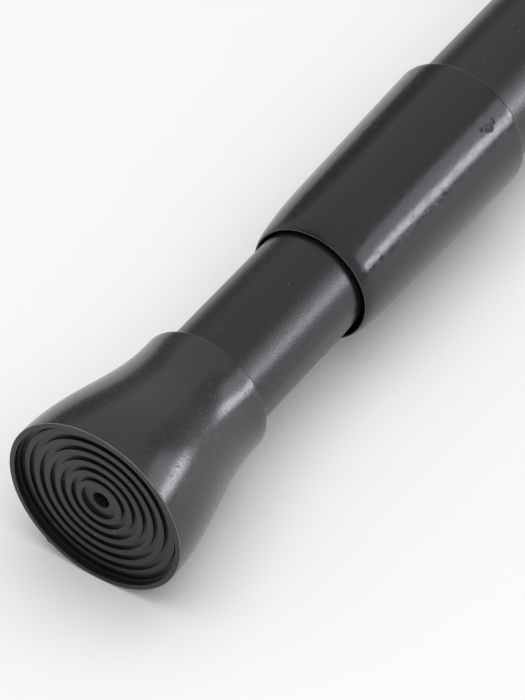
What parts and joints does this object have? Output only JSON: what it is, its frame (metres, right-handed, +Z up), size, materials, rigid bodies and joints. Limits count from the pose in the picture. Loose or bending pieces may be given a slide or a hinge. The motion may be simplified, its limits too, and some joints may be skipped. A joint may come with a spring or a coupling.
{
  "type": "telescoping cargo bar",
  "caption": "Twist-lock telescoping bar that braces cargo between the walls of a truck bed, with flared rubber feet and a soft grip collar.",
  "frame": {"origin": "centre of the fixed foot's face, on the bar's axis, in the plane of the foot's rim", "axes": "+X along the bar from the fixed foot to the sliding foot, +Z up as the bar lies, +Y to its left"},
  "size_m": [1.0405, 0.0456, 0.0456],
  "materials": {
    "painted_tube": "satin black powder coat",
    "soft_grip": "smooth black soft PVC, semi-gloss",
    "foot_rubber": "moulded black rubber, satin",
    "ring_rubber": "black nitrile rubber",
    "nylon_black": "moulded black nylon",
    "nylon_natural": "natural nylon",
    "shoe_plastic": "fibre-filled friction plastic",
    "cast_zinc": "die-cast zinc, as cast",
    "nut_brass": "machined",
    "zinc_steel": "bright zinc plate",
    "spring_steel": "oiled spring steel"
  },
  "bodies": {
    "outer_side": {"outer_tube": "painted_tube", "grip_collar": "soft_grip", "mouth_bush": "nylon_black", "fixed_plug": "nylon_black", "fixed_foot": "foot_rubber"},
    "lock_carriage": {"lock_cage": "cast_zinc", "drag_ring": "ring_rubber", "shoe_washer": "zinc_steel", "shoe_clip": "spring_steel", "spring": "spring_steel", "nut_clip": "spring_steel"},
    "shoe": {"lock_shoe": "shoe_plastic"},
    "nut_carriage": {"lead_nut": "nut_brass", "spring_washer": "zinc_steel"},
    "glide": {"glide_ring": "nylon_natural"},
    "inner_side": {"inner_tube": "painted_tube", "guide_plug": "nylon_black", "lead_screw": "zinc_steel", "screw_pin": "spring_steel", "stop_washer": "zinc_steel", "stop_clip": "spring_steel", "sliding_plug": "nylon_black", "sliding_foot": "foot_rubber"}
  },
  "joints": [
    {"name": "length_setting", "type": "slide", "parent": "outer_side", "child": "lock_carriage", "axis": [1, 0, 0], "range_m": [-0.03, 0.56]},
    {"name": "shoe_turn", "type": "hinge", "parent": "lock_carriage", "child": "shoe", "pos_m": [0.1522, 0, 0.001], "axis": [1, 0, 0], "range_deg": [-12, 12]},
    {"name": "spring_squeeze", "type": "slide", "parent": "lock_carriage", "child": "nut_carriage", "axis": [-1, 0, 0], "range_m": [0, 0.01], "stiffness_N_per_m": 12000, "deforming": ["spring"]},
    {"name": "screw_advance", "type": "slide", "parent": "nut_carriage", "child": "glide", "axis": [1, 0, 0], "range_m": [0, 0.07]},
    {"name": "twist", "type": "hinge", "parent": "glide", "child": "inner_side", "pos_m": [0.238, 0, 0], "axis": [1, 0, 0], "range_deg": [0, 8400]}
  ],
  "couplings": [
    {"joint": "screw_advance", "follows": "twist", "m_per_rad": 0.00047746}
  ]
}
